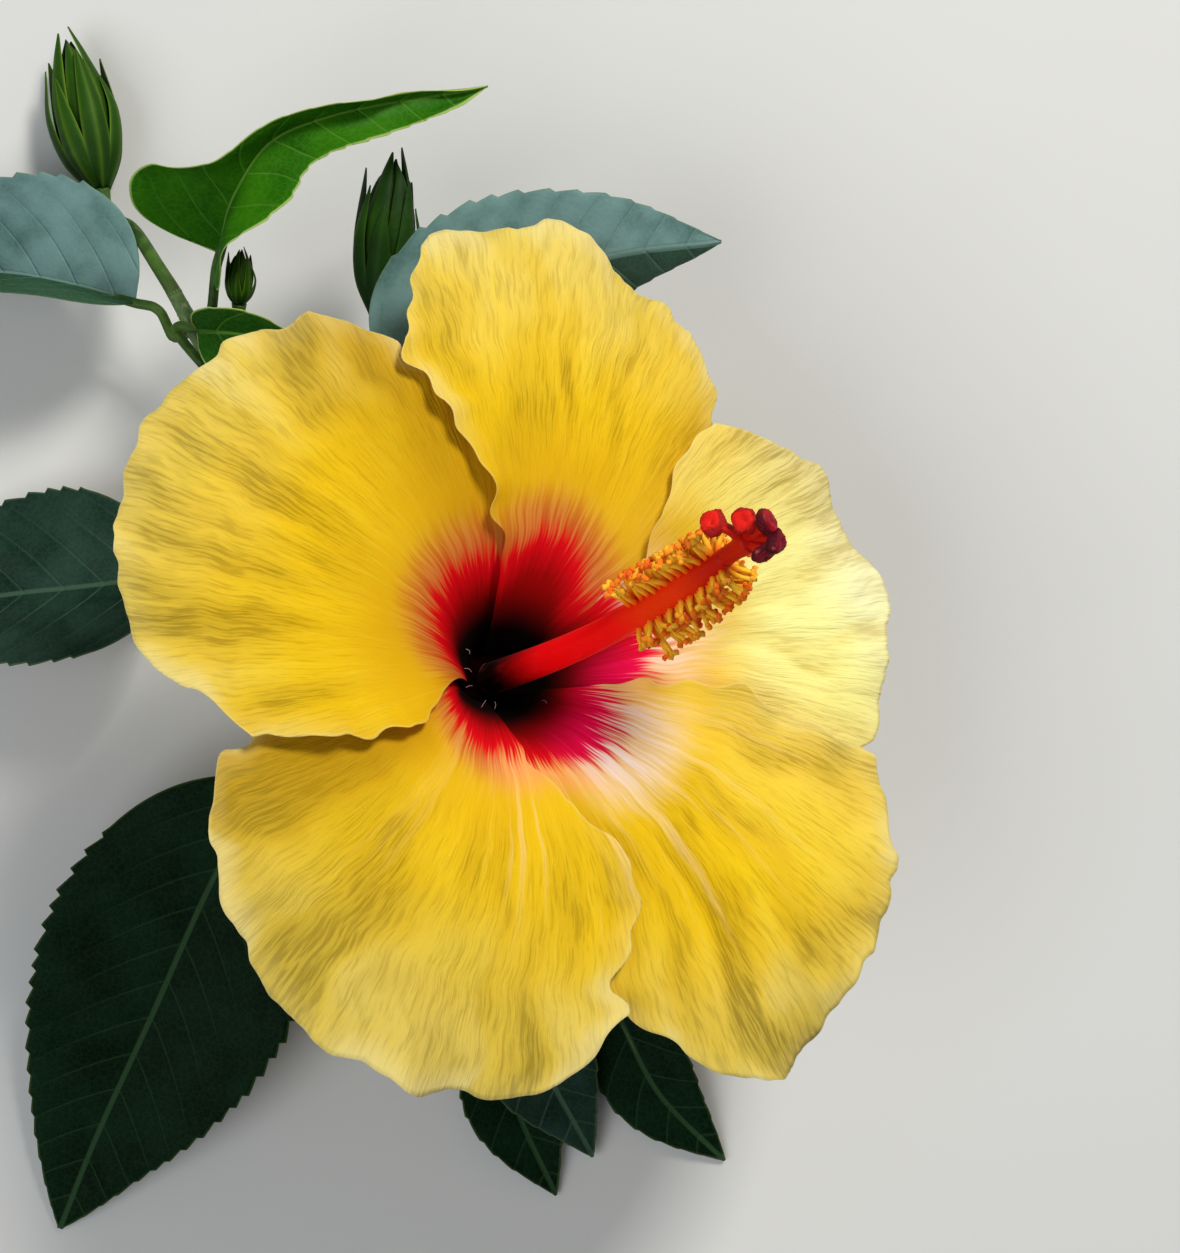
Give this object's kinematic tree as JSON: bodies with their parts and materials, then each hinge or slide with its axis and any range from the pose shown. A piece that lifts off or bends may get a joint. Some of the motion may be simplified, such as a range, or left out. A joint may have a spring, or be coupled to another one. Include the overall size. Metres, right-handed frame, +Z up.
{
  "type": "cut hibiscus branch",
  "caption": "Cut flowering hibiscus branch lying on its leaves, with an open yellow bloom with a red eye, a long staminal column, green buds and toothed leaves.",
  "frame": {"origin": "under the middle of the branch's own box, on the surface that it lies on", "axes": "+Z up out of the surface; +Y runs from the cut end's side towards the shoot's tip, along the branch's longest extent; +X to the side that the open bloom leans to"},
  "size_m": [0.2086, 0.2466, 0.1153],
  "materials": {
    "bark": "matt greenish-brown bark with pale pores",
    "stalk": "smooth green stalk, slightly glossy",
    "leaf": "dark glossy green with a bluish sheen and paler veins",
    "young_leaf": "bright fresh green, satin",
    "bud": "soft satin green sepals and bracts",
    "petal": "silky yellow with fine veins, a pale rim and a crimson eye",
    "column": "smooth waxy red",
    "stigma": "velvety dark red"
  },
  "bodies": {
    "root": {"main_stem": "bark", "bloom_stalk": "stalk", "petal_right": "petal", "petal_top": "petal", "petal_left": "petal", "petal_lower_left": "petal", "petal_lower_right": "petal", "calyx": "bud", "epicalyx": "bud", "staminal_column": "column", "style_and_stigmas": "stigma", "leaf_beside_bud": "leaf", "leaf_young_folded": "young_leaf", "leaf_behind_top_petal": "leaf", "leaf_left": "leaf", "leaf_large_lower": "leaf", "leaf_small_upper": "leaf", "leaf_under_middle": "leaf", "leaf_under_right": "leaf", "leaf_under_left": "leaf", "leaf_covered_right": "leaf", "leaf_covered_upper": "leaf", "bud_large_stalk": "stalk", "bud_large": "bud", "bud_shaded_stalk": "stalk", "bud_shaded": "bud", "bud_small_stalk": "stalk", "bud_small": "bud"}
  },
  "joints": []
}
